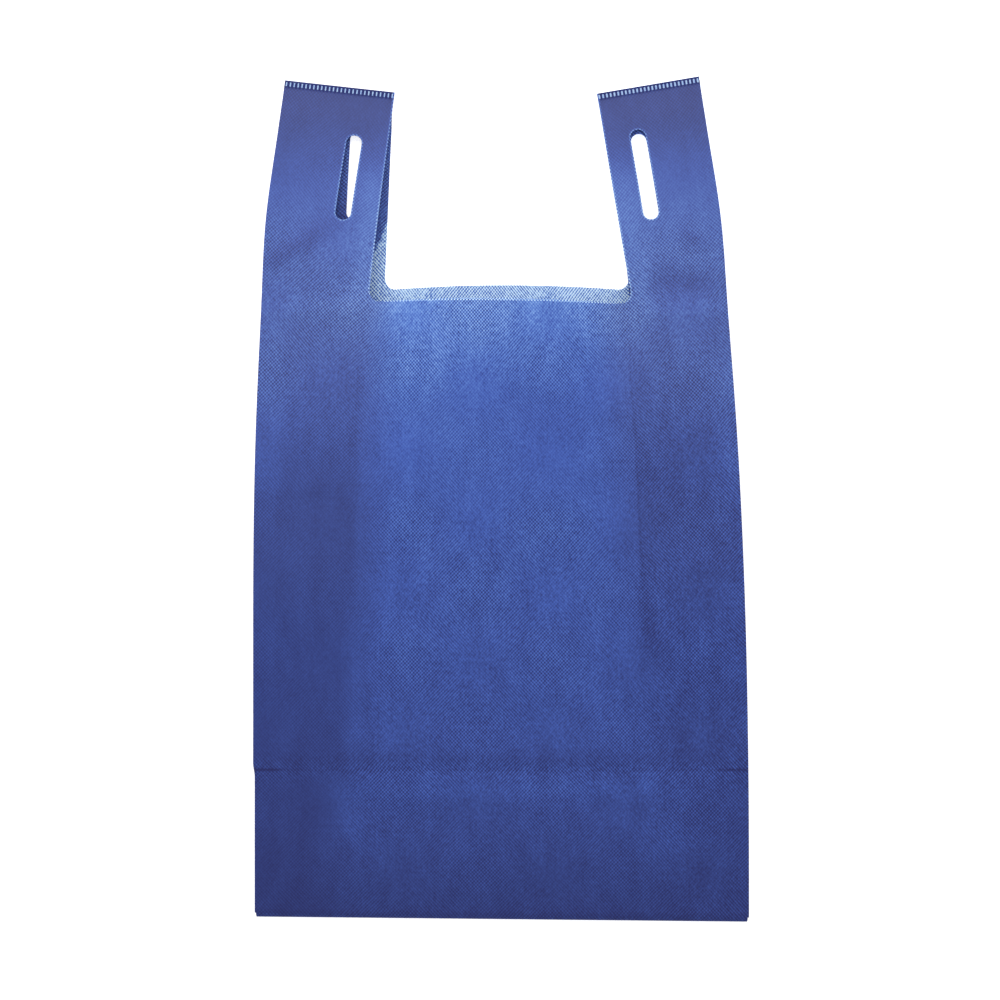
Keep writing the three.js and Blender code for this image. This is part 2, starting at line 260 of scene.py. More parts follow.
# Soft creases of the front, as laid: both ends, width and height, in millimetres.
CREASES = (
    ((-142, 142), (-106, 164), 4.5, 0.9),
    ((108, 161), (127, 152), 3.0, 0.6),
    ((92, 133), (127, 128), 7.0, -1.0),
    ((-142, 112), (-84, 115), 6.0, 0.8),
    ((84, 112), (136, 114), 6.0, 0.8),
    ((-148, 4), (-96, 8), 6.0, 0.35),
    ((112, -38), (146, -44), 5.0, 0.4),
    ((118, 100), (134, 68), 5.0, 0.4),
)

# Painted shade and painted light of the front, as laid: both ends, width and change of tone.
SHADES = (
    ((-142, 143), (-106, 164), 6.0, -0.050),
    ((106, 162), (127, 152), 4.0, -0.040),
    ((92, 133), (127, 128), 9.0, -0.045),
    ((-142, 112), (-84, 115), 8.0, 0.014),
    ((84, 112), (136, 114), 8.0, 0.014),
    ((-130, -157), (130, -157), 5.0, -0.020),
    ((-70, -177), (110, -174), 5.5, 0.024),
    ((-93, -172), (-93, -208), 10.0, 0.020),
    ((104, -178), (104, -214), 20.0, 0.020),
    ((-148, 1), (-96, 5), 5.0, -0.010),
    ((112, -42), (146, -48), 5.0, -0.012),
    ((60, 60), (60, 20), 12.0, 0.014),
    ((20, 70), (20, 30), 14.0, -0.014),
    ((-40, 95), (-34, 60), 18.0, 0.016),
)

# Where a stroke starts, is full, weakens and ends, in shares of its length.
STROKE_BAND = (-0.2, 0.25, 0.75, 1.2)


def strokes(lines, x, y):
    """The sum over the lines of value * exp(-(distance from the line / width)^2), faded at both ends."""
    total = np.zeros_like(x)
    for (x0, y0), (x1, y1), width, value in lines:
        length = math.hypot(x1 - x0, y1 - y0)
        share = ((x - x0) * (x1 - x0) + (y - y0) * (y1 - y0)) / length**2
        off = ((x - x0) * (y1 - y0) - (y - y0) * (x1 - x0)) / length
        total += value * band(*STROKE_BAND, share) * bell(0.0, width, off)
    return total


def pitch_at(y):
    """From one layer to the next: the fabric and the gap, which closes towards the weld."""
    return FABRIC + mix(LAYER_GAP, PRESSED_GAP, smooth(WELD_START - WELD_RUN_IN, WELD_START, y))


def raised(x, y):
    """How far the whole bag stands off the surface: nothing where it touches, a low wave elsewhere."""
    return RAISED_HEIGHT * smooth(*RAISED_RUN, waves(x, y, *RAISED_WAVES))


def loose_share(x, y):
    """How free the front is to wave: (1 - (x/half)^2)^shape across, down to 0 at the weld and the fold."""
    across = np.maximum(0.0, 1 - (x / HALF) ** 2) ** LOOSE_SHAPE
    return across * fade(WELD_START - LOOSE_TOP, WELD_START, y) * smooth(0.0, LOOSE_BOTTOM, y)


def height(level, flat_x, flat_y, x, y):
    """The middle of a layer: base + level * pitch, and on the front the billow, waves and creases too."""
    lift = BODY_LIFT * fade(FLAP_HEIGHT, FLAP_HEIGHT + FLAP_RAMP, flat_y)
    z = FABRIC / 2 + lift + level * pitch_at(flat_y) + raised(x, y)
    loose = BROAD_HEIGHT * waves(x, y, *BROAD_WAVES) + FINE_HEIGHT * waves(x, y, *FINE_WAVES)
    plain = billow(flat_x, flat_y)
    front = plain + loose_share(flat_x, flat_y) * (loose + LOOSE_LIFT) + strokes(CREASES, x, y)
    return z + np.where(level == FRONT, np.maximum(front, plain * LEAST_BILLOW - DEEPEST_DIP), 0.0)


def inner_edge(y, corner, depth, spread):
    """A handle's inner edge from the mouth's middle: a round corner, then half + spread * (1 - share)^2."""
    radius = MOUTH_CORNER_RADIUS
    half = MOUTH_WIDTH / 2
    above = np.clip(y - corner, 0.0, radius)
    rounded = half + spread - radius + np.sqrt(radius**2 - (radius - above) ** 2)
    share = np.clip((y - corner - radius) / (depth + MOUTH_CROWN - radius), 0.0, 1.0)
    return np.where(y > corner + radius, half + spread * (1 - share) ** 2, rounded)


def row_heights():
    """Heights of the rows: even steps between stops, closer at the mouth's corners and the crease."""
    arc = MOUTH_CORNER_RADIUS * (1 - np.cos(np.linspace(0, math.pi / 2, CORNER_STEPS + 1)))
    crease = FLAP_HEIGHT + CREASE_WIDTH * np.linspace(-CREASE_REACH, CREASE_REACH, CREASE_ROWS)
    weld = WELD_START + np.array(WELD_ROWS)
    stops = np.sort(np.concatenate([[FOLD_ROUND], crease, FRONT_CORNER + arc, BACK_CORNER + arc, weld]))
    parts = [stops[:1]]
    for low, high in zip(stops[:-1], stops[1:]):
        steps = max(1, round((high - low) / ROW_STEP))
        parts.append(low + (high - low) * np.arange(1, steps + 1) / steps)
    return np.concatenate(parts)


class Cloth:
    """Collects points and faces: each point's place on the pattern, where it lies, and its layer."""

    def __init__(self):
        self.points = []
        self.faces = []
        self.count = 0

    def add(self, flat_x, flat_y, x, y, z, layer):
        """Adds an array of points and returns the array of their numbers."""
        shape = np.shape(flat_x)
        made = [np.broadcast_to(v, shape).ravel() for v in (flat_x, flat_y, x, y, z, layer)]
        self.points.append(np.stack(made, axis=1))
        numbers = np.arange(self.count, self.count + made[0].size).reshape(shape)
        self.count += made[0].size
        return numbers

    def cover(self, numbers, kept=None):
        """Adds faces between neighbouring rows and columns of points, less those that kept leaves out."""
        a, b = numbers[:-1, :-1], numbers[:-1, 1:]
        c, d = numbers[1:, 1:], numbers[1:, :-1]
        quads = np.stack([a, b, c, d], axis=-1)
        self.faces.append(quads.reshape(-1, 4) if kept is None else quads[kept])

    def arrays(self):
        """The points that faces use, and the faces with their numbers to suit."""
        points = np.concatenate(self.points)
        faces = np.concatenate(self.faces)
        used, place = np.unique(faces, return_inverse=True)
        return points[used], place.reshape(faces.shape)


FRONT_PANEL = {
    "level": FRONT,
    "corner": FRONT_CORNER,
    "depth": MOUTH_DEPTH_FRONT,
    "spread": (MOUTH_SPREAD_LEFT_FRONT, MOUTH_SPREAD_RIGHT),
    "slant": 0.0,
    "columns": (HANDLE_COLUMNS, MOUTH_COLUMNS),
}
BACK_PANEL = {
    "level": BACK,
    "corner": BACK_CORNER,
    "depth": MOUTH_DEPTH_BACK,
    "spread": (MOUTH_SPREAD_LEFT_BACK, MOUTH_SPREAD_RIGHT),
    "slant": MOUTH_SLANT_BACK,
    "columns": (BACK_HANDLE_COLUMNS, BACK_MOUTH_COLUMNS),
}

# Where the panels and leaves stand in the ring of parts. A fold stands after each.
FRONT_PART, RIGHT_UPPER, RIGHT_LOWER, BACK_PART, LEFT_LOWER, LEFT_UPPER = range(0, 12, 2)


def outer_fold(pitch):
    """How far from the middle line a layer turns into the fold at the bag's side."""
    return HALF - FABRIC / 2 - pitch / 2


def inner_fold(pitch):
    """How far from the middle line a layer turns into the fold inside the gusset."""
    return HALF - GUSSET_DEPTH + FABRIC / 2 + pitch / 2


def panel_columns(y, level, corner, depth, spread, slant, columns):
    """A panel's points from left to right: handle, mouth and handle columns that follow the punched edge."""
    rows = y[:, None]
    outer = outer_fold(pitch_at(rows))
    left = PUNCH_OFFSET - inner_edge(rows, corner, depth, spread[0])
    right = PUNCH_OFFSET + inner_edge(rows, corner, depth, spread[1])
    share = np.linspace(0, 1, columns[0] + 1)[None, :]
    across = np.linspace(0, 1, columns[1] + 1)[None, 1:-1]
    x = np.hstack([mix(-outer, left, share), mix(left, right, across), mix(right, outer, share)])
    crown = 4 * MOUTH_CROWN * across * (1 - across) + slant * (across - 0.5)
    sides = slant / 2 * share**2
    rise = np.hstack([-sides, crown, sides[:, ::-1]])
    near = band(corner - CROWN_BELOW, corner, corner + CROWN_HOLD, corner + CROWN_ABOVE, rows)
    back = 0.0 if level == FRONT else 1.0
    return x, rows + rise * near, np.full_like(x, level), np.full_like(x, back)


def leaf_columns(y, side, level, back_from, back_to):
    """A gusset leaf from its outer fold to its inner one: the share of the back's move goes evenly with x."""
    rows = y[:, None]
    pitch = pitch_at(rows)
    share = np.linspace(0, 1, LEAF_COLUMNS + 1)[None, :]
    x = side * mix(outer_fold(pitch), inner_fold(pitch), share)
    return x, rows + 0 * x, np.full_like(x, level), mix(back_from, back_to, share) + 0 * x


def fold_columns(y, side, upper, way, back):
    """The columns inside a fold between two levels: a half circle of one pitch across, without its ends."""
    rows = y[:, None]
    pitch = pitch_at(rows)
    angle = math.pi * np.arange(1, FOLD_COLUMNS + 1)[None, :] / (FOLD_COLUMNS + 1)
    centre = outer_fold(pitch) if way == OUTWARD else inner_fold(pitch)
    x = side * (centre + way * pitch / 2 * np.sin(angle))
    level = upper - 0.5 + 0.5 * np.cos(angle) + 0 * x
    return x, rows + 0 * x, level, np.full_like(x, back)


def flipped(columns):
    """The same columns in the other order."""
    return tuple(v[:, ::-1] for v in columns)


def ring_columns(y):
    """The tube's points all the way round: front, in and out of the right gusset, back, left gusset."""

    def gusset(side):
        return [
            fold_columns(y, side, FRONT, OUTWARD, 0.0),
            leaf_columns(y, side, UPPER_LEAF, 0.0, 0.5),
            fold_columns(y, side, UPPER_LEAF, INWARD, 0.5),
            flipped(leaf_columns(y, side, LOWER_LEAF, 1.0, 0.5)),
            fold_columns(y, side, LOWER_LEAF, OUTWARD, 1.0),
        ]

    parts = [panel_columns(y, **FRONT_PANEL), *gusset(RIGHT)]
    parts += [flipped(panel_columns(y, **BACK_PANEL)), *[flipped(p) for p in reversed(gusset(LEFT))]]
    starts = np.cumsum([0] + [p[0].shape[1] for p in parts])
    return [np.hstack(v) for v in zip(*parts)], starts


def slot_lip(side, level):
    """How much higher a layer's slot reaches: every layer's on the left, only the front's on the right."""
    if side == LEFT:
        return SLOT_LIP_LEFT
    return SLOT_LIP_RIGHT if level == FRONT else 0.0


def slot_edge(x, y, side, level):
    """The nearest point of a slot's edge to each point: off its middle line by half the slot's width."""
    slipped = 1.0 if side == LEFT and level <= LOWER_LEAF else 0.0
    tilt = SLOT_TILT * (1 - slipped)
    centre_x = PUNCH_OFFSET + side * SLOT_SPACING / 2 + SLOT_SHIFT * slipped
    radius = SLOT_WIDTH / 2
    cos, sin = math.cos(tilt * side), math.sin(tilt * side)
    u = (x - centre_x) * cos + (y - SLOT_MIDDLE) * sin
    v = -(x - centre_x) * sin + (y - SLOT_MIDDLE) * cos
    lowest = radius - SLOT_LENGTH / 2 - SLOT_SLIP * slipped
    highest = SLOT_LENGTH / 2 + slot_lip(side, level) - radius
    spine = np.clip(v, lowest, highest)
    reach = np.hypot(u, v - spine)
    u, v = radius * u / reach, spine + radius * (v - spine) / reach
    return centre_x + u * cos - v * sin, SLOT_MIDDLE + u * sin + v * cos


def block_edge(low, high, left, right):
    """The rows and columns of the points on a block's edge, once round it."""
    wide, tall = right - left, high - low
    rows = [np.full(wide, low), np.arange(low, high), np.full(wide, high), np.arange(high, low, -1)]
    columns = [np.arange(left, right), np.full(tall, right), np.arange(right, left, -1), np.full(tall, left)]
    return np.concatenate(rows), np.concatenate(columns)


def slot_rings(cloth, grid, y, level, side, first, last):
    """Rings of faces from a block of the grid to its slot. Returns the block's rows and columns."""
    numbers, flat_x, flat_y, share = grid
    centre_x = PUNCH_OFFSET + side * SLOT_SPACING / 2
    reach_x = SLOT_WIDTH / 2 + SLOT_MARGIN
    reach_y = SLOT_LENGTH / 2 + SLOT_MARGIN
    low, high = np.searchsorted(y, [SLOT_MIDDLE - reach_y, SLOT_MIDDLE + reach_y])
    middle = int(np.argmin(abs(y - SLOT_MIDDLE)))
    inside = np.flatnonzero(abs(flat_x[middle, first:last] - centre_x) < reach_x) + first
    left, right = inside.min() - 1, inside.max() + 1
    rows, columns = block_edge(low, high, left, right)
    from_x, from_y = flat_x[rows, columns], flat_y[rows, columns]
    to_x, to_y = slot_edge(from_x, from_y, side, level)
    laid_from = lay(from_x, from_y, share[rows, columns])
    laid_to = lay(to_x, to_y, 0.0 if level >= UPPER_LEAF else 1.0)
    rings = [numbers[rows, columns]]
    for k in range(1, SLOT_RINGS + 1):
        part = k / SLOT_RINGS
        ring_x, ring_y = mix(from_x, to_x, part), mix(from_y, to_y, part)
        x, laid_y = mix(laid_from[0], laid_to[0], part), mix(laid_from[1], laid_to[1], part)
        z = height(np.full_like(ring_x, level), ring_x, ring_y, x, laid_y)
        rings.append(cloth.add(ring_x, ring_y, x, laid_y, z, level))
    rings = np.stack(rings)
    cloth.cover(np.hstack([rings, rings[:, :1]]))
    return low, high, left, right


def slot_stretches(starts):
    """The stretches of columns that have a slot: level, side, first column and the one past the last."""
    front, front_end = starts[FRONT_PART], starts[FRONT_PART + 1]
    back, back_end = starts[BACK_PART], starts[BACK_PART + 1]
    return (
        (FRONT, LEFT, front, front + HANDLE_COLUMNS),
        (FRONT, RIGHT, front + HANDLE_COLUMNS + MOUTH_COLUMNS, front_end),
        (UPPER_LEAF, RIGHT, starts[RIGHT_UPPER], starts[RIGHT_UPPER + 1]),
        (LOWER_LEAF, RIGHT, starts[RIGHT_LOWER], starts[RIGHT_LOWER + 1]),
        (BACK, RIGHT, back, back + BACK_HANDLE_COLUMNS),
        (BACK, LEFT, back_end - BACK_HANDLE_COLUMNS, back_end),
        (LOWER_LEAF, LEFT, starts[LEFT_LOWER], starts[LEFT_LOWER + 1]),
        (UPPER_LEAF, LEFT, starts[LEFT_UPPER], starts[LEFT_UPPER + 1]),
    )


def tube(cloth):
    """The tube, less its mouth and slots. Returns the numbers and flat x of the front's lowest row."""
    y = row_heights()
    (flat_x, flat_y, level, share), starts = ring_columns(y)
    x, laid_y = lay(flat_x, flat_y, share)
    z = height(level, flat_x, flat_y, x, laid_y)
    numbers = cloth.add(flat_x, flat_y, x, laid_y, z, level)
    kept = np.ones((len(y) - 1, flat_x.shape[1]), bool)
    for part, panel in ((FRONT_PART, FRONT_PANEL), (BACK_PART, BACK_PANEL)):
        handle, mouth = panel["columns"]
        corner_row = int(np.argmin(abs(y - panel["corner"])))
        first = starts[part] + handle
        kept[corner_row:, first : first + mouth] = False
    grid = (numbers, flat_x, flat_y, share)
    for layer, side, first, last in slot_stretches(starts):
        low, high, left, right = slot_rings(cloth, grid, y, layer, side, first, last)
        kept[low:high, left:right] = False
    cloth.cover(np.hstack([numbers, numbers[:, :1]]), kept)
    front = slice(starts[FRONT_PART], starts[FRONT_PART + 1])
    return numbers[0, front], flat_x[0, front]


def bottom_path():
    """The bottom's profile as y and z: a half ellipse under the front, the flap, its edge, and back."""
    high = BODY_LIFT + FOLDED_SIDE
    turn = np.linspace(0, math.pi, FOLD_STEPS + 1)[1:]
    fold_y = FOLD_ROUND - (FOLD_ROUND - FABRIC / 2) * np.sin(turn)
    fold_z = high / 2 + (high / 2 - FABRIC / 2) * np.cos(turn)
    out = np.linspace(FOLD_ROUND, FLAP_HEIGHT - FLAP_EDGE, FLAP_STEPS + 1)[1:]
    turn = np.linspace(0, math.pi, EDGE_STEPS + 1)[1:]
    edge_y = FLAP_HEIGHT - FLAP_EDGE + FLAP_EDGE * np.sin(turn)
    edge_z = FABRIC / 2 + FLAP_EDGE - FLAP_EDGE * np.cos(turn)
    home = np.linspace(FLAP_HEIGHT - FLAP_EDGE, FOLD_ROUND, RETURN_STEPS + 1)[1:]
    y = np.concatenate([fold_y, out, edge_y, home])
    z = np.concatenate([fold_z, np.full_like(out, FABRIC / 2), edge_z, np.full_like(home, edge_z[-1])])
    return y, z


def bottom(cloth, top_numbers, top_x):
    """The bottom fold and the flap, which widens to its ears, carried on from the front's lowest row."""
    y, z = bottom_path()
    rows, heights = y[:, None], z[:, None]
    widen = mix(HALF - FLAP_EAR, HALF + FLAP_EAR, rows / FLAP_HEIGHT) / HALF
    round_fold = np.clip(np.arange(1, len(y) + 1)[:, None] / FOLD_STEPS, 0, 1)
    flat_x = top_x[None, :] * mix(1.0, widen, round_fold)
    run = np.cumsum(np.hypot(np.diff(y, prepend=FOLD_ROUND), np.diff(z, prepend=z[0])))
    x, laid_y = lay(flat_x, rows + 0 * flat_x, np.ones_like(flat_x))
    place = heights + raised(x, laid_y)
    numbers = cloth.add(flat_x, FOLD_ROUND - run[:, None] + 0 * flat_x, x, laid_y, place, BACK)
    cloth.cover(np.vstack([numbers[::-1], top_numbers[None, :]]))


# Looks of the cloth, with painted light and shade in them: light coming through the layers, light from the
# handles' end, and shade at creases and folds. A tone goes from 0, the deep colour, to 1, the pale one.
# A run is where a change starts and ends, and a band is where one starts, is full, weakens and ends.
# Both are in millimetres from the laid bag's middle, or from the bottom fold where the name says flat.
# Painted light of the open middle: lighter going up from the bottom, and a painted glow of light coming
# through towards the mouth.
MIDDLE_TONE = 0.245
MIDDLE_RISE = 0.148
MIDDLE_RISE_RUN = (-254, 58)
MIDDLE_RISE_POWER = 0.6
MOUTH_GLOW = 0.120
MOUTH_GLOW_RUN = (55, 115)
MOUTH_GLOW_MOST = 1.1
MOUTH_GLOW_POWER = 1.6
MOUTH_GLOW_LOSS = 0.6  # of it at the sides
MIDDLE_EDGE = (62, 88)  # from the middle line to the sides
MIDDLE_TILT = 0.00035  # how much the tone falls with each millimetre to the right
MIDDLE_TILT_RUN = (0, 60)

# Painted light and shade of the folded sides and handles: darker than the middle where less light comes
# through four layers, lighter going up and on the handles, where the light from their end falls, and darker
# again at the handle tops.
SIDE_TONE = 0.237
SIDE_RISE = 0.067
SIDE_RISE_RUN = (-254, -1)
SIDE_RISE_POWER = 0.8
HANDLE_RISE = 0.102
HANDLE_RISE_RUN = (-7, 125)
HANDLE_FALL = 0.095
HANDLE_FALL_RUN = (170, 247)
PUNCHED_SIDE = 0.055  # beside the handles' punched edges
PUNCHED_SIDE_REACH = (4, 26)
PUNCHED_SIDE_BAND = (85, 120, 185, 212)
OUTER_SIDE = 0.03
OUTER_SIDE_REACH = (120, 140)
OUTER_SIDE_BAND = (-25, 15, 70, 100)
RIGHT_SIDE_RUN = (50, 100)
RIGHT_LOW = 0.018
RIGHT_LOW_RUN = (-60, 20)
RIGHT_HIGH = 0.022
RIGHT_HIGH_BAND = (125, 165, 190, 235)

# Where the middle's painted light gives way to the sides' painted shade, at the gusset's inner fold; on the
# handles the middle takes the sides' tone.
HANDLE_RUN = (100, 118)
HANDLE_REACH = (-12, 0)
FOLD_INSET = 4  # how far inside the gusset's depth its inner fold shows
FLAT_LOW_SPREAD = 14  # how much farther out it shows at the bottom
FLAT_LOW_RUN = (60, 240)
FLAT_FLAP_SPREAD = 8  # and over the flap
FLAT_FLAP_RUN = (80, 96)
OPEN_RUN = (-6, 32)
FOLD_STEP = 0.4  # the share of the change of tone that comes sharply at the fold
FLAT_BOTTOM_SHADE = 0.03
FLAT_BOTTOM_RUN = (0, 5)

# Painted sheen that greys the handles and sides: each step up and its run.
PAINTED_SHEENS = ((0.05, (-100, 0)), (0.115, (0, 110)), (0.05, (190, 247)))  # each step up and its run
CONTRAST = 0.045
CONTRAST_GAIN = 0.55  # for each unit of tone past its start
CONTRAST_START = 0.27
HANDLE_CALM = 0.6
HANDLE_CALM_RUN = (135, 190)
SIDE_CALM = 0.6
SIDE_CALM_RIGHT = 0.7  # how much is added at the right
SIDE_CALM_RUN = (0, 100)
MIDDLE_CALM = 0.28
MIDDLE_CALM_BAND = (-20, 10, 55, 85)
CREASE_CONTRAST = 0.03
CREASE_CONTRAST_WIDTH = 7

# A painted shadow line at the gusset's inner fold, and how soft the fold's step of painted light and shade is.
FOLD_SHADOW_LEFT = 0.006
FOLD_SHADOW_RIGHT = 0.030
FOLD_SHADOW_BAND = (-120, -70, 70, 95)
FOLD_SOFT_LEFT = 3.6
FOLD_SOFT_RIGHT = 1.6
FOLD_SOFT_LOW = 9.0
FOLD_SOFT_RUN = (-90, -20)
WELDED_RUN = (WELD_START + 0.2, WELD_START + 0.9)
WELD_TONE = 0.22
WELD_CONTRAST = 0.03

# The back seen over the mouth: painted bright where its single layer lets light through, and painted shade,
# greyed with painted sheen, left of the strip's slanted edge.
STRIP_CORNER = (-78.1, 145.7)  # of the slanted left edge of the back's single layer, over the mouth
STRIP_SLOPE = 2.4
STRIP_SOFT = 1.5
STRIP_STEP = 0.37
STRIP_PAINTED_SHEEN = 0.10  # left of the strip
SHOWN_FROM = 105
SHOWN_TONE = 0.37
SHOWN_RISE = 0.08
SHOWN_RISE_RUN = (-72, -58)
SHOWN_CONTRAST = 0.14
STRIP_CONTRAST = 0.40
STRIP_CONTRAST_RUN = (-3, 3)
HIDDEN_TONE = 0.25
HIDDEN_RISE = 0.11
HIDDEN_CONTRAST = 0.05
HIDDEN_CONTRAST_RISE = 0.08
HIDDEN_RUN = (100, 130)


def middle_tone(x, y):
    """The open middle's painted light: lighter going up from the bottom, and light that comes through towards
    the mouth.
    """
    at_edge = smooth(*MIDDLE_EDGE, abs(x))
    rise = MIDDLE_RISE * along(*MIDDLE_RISE_RUN, y) ** MIDDLE_RISE_POWER
    glow = MOUTH_GLOW * along(*MOUTH_GLOW_RUN, y, MOUTH_GLOW_MOST) ** MOUTH_GLOW_POWER
    tilt = MIDDLE_TILT * x * smooth(*MIDDLE_TILT_RUN, y) * (1 - at_edge)
    return MIDDLE_TONE + rise + glow * (1 - MOUTH_GLOW_LOSS * at_edge) - tilt


def from_punch(flat_x):
    """How far a point is outside the mouth's width."""
    return abs(flat_x - PUNCH_OFFSET) - MOUTH_WIDTH / 2


def side_tone(flat_x, x, y):
    """The folded sides and the handles, with painted light and shade: darker than the middle, lighter towards
    the handles' inner edges.
    """
    low = SIDE_RISE * along(*SIDE_RISE_RUN, y) ** SIDE_RISE_POWER
    high = HANDLE_RISE * smooth(*HANDLE_RISE_RUN, y) - HANDLE_FALL * smooth(*HANDLE_FALL_RUN, y)
    punched = PUNCHED_SIDE * fade(*PUNCHED_SIDE_REACH, from_punch(flat_x)) * band(*PUNCHED_SIDE_BAND, y)
    outer = OUTER_SIDE * smooth(*OUTER_SIDE_REACH, abs(x)) * band(*OUTER_SIDE_BAND, y)
    right = RIGHT_LOW * fade(*RIGHT_LOW_RUN, y) + RIGHT_HIGH * band(*RIGHT_HIGH_BAND, y)
    return SIDE_TONE + low + high + punched + outer + right * smooth(*RIGHT_SIDE_RUN, x)


def from_cut(flat_x, flat_y):
    """How far a point of the front is from the punched edges beside it, in millimetres."""
    spread = np.where(flat_x < 0, MOUTH_SPREAD_LEFT_FRONT, MOUTH_SPREAD_RIGHT)
    mouth = abs(flat_x - PUNCH_OFFSET) - inner_edge(flat_y, FRONT_CORNER, MOUTH_DEPTH_FRONT, spread)
    nearest = np.where(flat_y > FRONT_CORNER, mouth, HALF)
    for side in (LEFT, RIGHT):
        edge_x, edge_y = slot_edge(flat_x, flat_y, side, FRONT)
        nearest = np.minimum(nearest, np.hypot(edge_x - flat_x, edge_y - flat_y))
    return nearest


def past_fold(flat_x, flat_y):
    """How far a point is inside the gusset's inner fold, which shows farther out low down."""
    spread = FLAT_LOW_SPREAD * fade(*FLAT_LOW_RUN, flat_y) + FLAT_FLAP_SPREAD * fade(*FLAT_FLAP_RUN, flat_y)
    return HALF - GUSSET_DEPTH - FOLD_INSET + spread - abs(flat_x)


def front_contrast(flat_y, x, y, tone, open_part):
    """How strongly bond points show: more with the tone and on the crease, less on sides and handles."""
    contrast = CONTRAST + CONTRAST_GAIN * np.maximum(0, tone - CONTRAST_START)
    contrast = contrast * (1 - HANDLE_CALM * smooth(*HANDLE_CALM_RUN, y))
    side = SIDE_CALM + SIDE_CALM_RIGHT * smooth(*RIGHT_SIDE_RUN, x)
    contrast = contrast * mix(side, 1.0, np.maximum(open_part, smooth(*SIDE_CALM_RUN, y)))
    contrast = contrast * (1 - MIDDLE_CALM * open_part * band(*MIDDLE_CALM_BAND, y))
    return contrast + CREASE_CONTRAST * bell(FLAP_HEIGHT, CREASE_CONTRAST_WIDTH, flat_y)


def front_look(flat_x, flat_y, x, y):
    """The front's LOOKS, with painted light and shade: the sides' tone turns to the middle's at the gusset's
    fold, partly in a step.
    """
    on_handle = smooth(*HANDLE_RUN, y) * smooth(*HANDLE_REACH, from_punch(flat_x))
    side = side_tone(flat_x, x, y)
    change = mix(middle_tone(x, y), side, on_handle) - side
    past = past_fold(flat_x, flat_y)
    open_part = smooth(*OPEN_RUN, past)
    shade = strokes(SHADES, x, y) - FLAT_BOTTOM_SHADE * fade(*FLAT_BOTTOM_RUN, flat_y)
    tone = side + (1 - FOLD_STEP) * change * open_part + shade
    step = FOLD_STEP * change
    contrast = front_contrast(flat_y, x, y, tone + step * open_part, open_part)
    painted_sheen = sum(amount * smooth(*run, y) for amount, run in PAINTED_SHEENS) * (1 - open_part * (1 - on_handle))
    line = np.where(x > 0, FOLD_SHADOW_RIGHT, FOLD_SHADOW_LEFT) * band(*FOLD_SHADOW_BAND, y)
    soft = np.where(x > 0, FOLD_SOFT_RIGHT, FOLD_SOFT_LEFT) + FOLD_SOFT_LOW * fade(*FOLD_SOFT_RUN, y)
    welded = smooth(*WELDED_RUN, flat_y)
    tone = mix(tone, WELD_TONE, welded)
    painted_sheen = mix(painted_sheen, 0.0, welded)
    contrast = mix(contrast, WELD_CONTRAST, welded)
    return tone, step, past / soft, line, painted_sheen, contrast, from_cut(flat_x, flat_y)


def under_look(x, y, layer):
    """The LOOKS of the layers under the front: over the mouth the back shows, painted bright where it is
    single and light comes through it.
    """
    in_strip = STRIP_CORNER[1] + STRIP_SLOPE * (x - STRIP_CORNER[0]) - y
    shown = (layer < LOWER_LEAF - 0.5) & (y > SHOWN_FROM)
    near_mouth = smooth(*HIDDEN_RUN, y)
    shown_tone = SHOWN_TONE + SHOWN_RISE * smooth(*SHOWN_RISE_RUN, x)
    tone = np.where(shown, shown_tone, HIDDEN_TONE + HIDDEN_RISE * near_mouth)
    step = np.where(shown, STRIP_STEP, 0.0)
    painted_sheen = np.where(in_strip > 0, 0.0, STRIP_PAINTED_SHEEN)
    shown_contrast = SHOWN_CONTRAST + STRIP_CONTRAST * smooth(*STRIP_CONTRAST_RUN, in_strip)
    contrast = np.where(shown, shown_contrast, HIDDEN_CONTRAST + HIDDEN_CONTRAST_RISE * near_mouth)
    return tone, step, in_strip / STRIP_SOFT, 0.0, painted_sheen, contrast, HALF


LOOKS = ("tone", "step", "past_edge", "fold_shadow", "painted_sheen", "contrast", "from_cut")


def look_of(points):
    """What each point's LOOKS are: how light it is, its step past an edge, how far past, and so on."""
    flat_x, flat_y, x, y, _, layer = points.T
    pairs = zip(front_look(flat_x, flat_y, x, y), under_look(x, y, layer))
    return [np.where(layer > FRONT - 0.5, front, under) for front, under in pairs]


def make_mesh(name, points, faces, material):
    """A mesh of the points and faces, with the pattern as its UV map and the looks as attributes."""
    mesh = bpy.data.meshes.new(name)
    mesh.from_pydata((points[:, 2:5] * MM).tolist(), [], faces.tolist())
    loops = np.zeros(len(mesh.loops), np.int32)
    mesh.loops.foreach_get("vertex_index", loops)
    uv = mesh.uv_layers.new(name="pattern")
    uv.data.foreach_set("uv", (points[loops, 0:2] * MM).astype(np.float32).ravel())
    for label, values in zip(LOOKS, look_of(points)):
        look = mesh.attributes.new(label, "FLOAT", "POINT")
        look.data.foreach_set("value", values.astype(np.float32))
    mesh.polygons.foreach_set("use_smooth", np.ones(len(mesh.polygons), bool))
    mesh.materials.append(material)
    mesh.update()
    return mesh


def place(name, mesh):
    """Puts a mesh in the scene at the origin and lets it ride on the bag's body."""
    piece = bpy.data.objects.new(name, mesh)
    bpy.context.scene.collection.objects.link(piece)
    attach(piece, BODY)
    return piece


def thicken(piece, thickness):
    """Gives the sheet its thickness on both sides and keeps its cut edges sharp."""
    wall = piece.modifiers.new("thickness", "SOLIDIFY")
    wall.thickness = thickness
    wall.offset = 0.0
    graph = bpy.context.evaluated_depsgraph_get()
    solid = piece.evaluated_get(graph)
    made = bpy.data.meshes.new_from_object(solid, preserve_all_data_layers=True, depsgraph=graph)
    piece.modifiers.clear()
    piece.data = made
    made.set_sharp_from_angle(angle=SHARP_ANGLE)


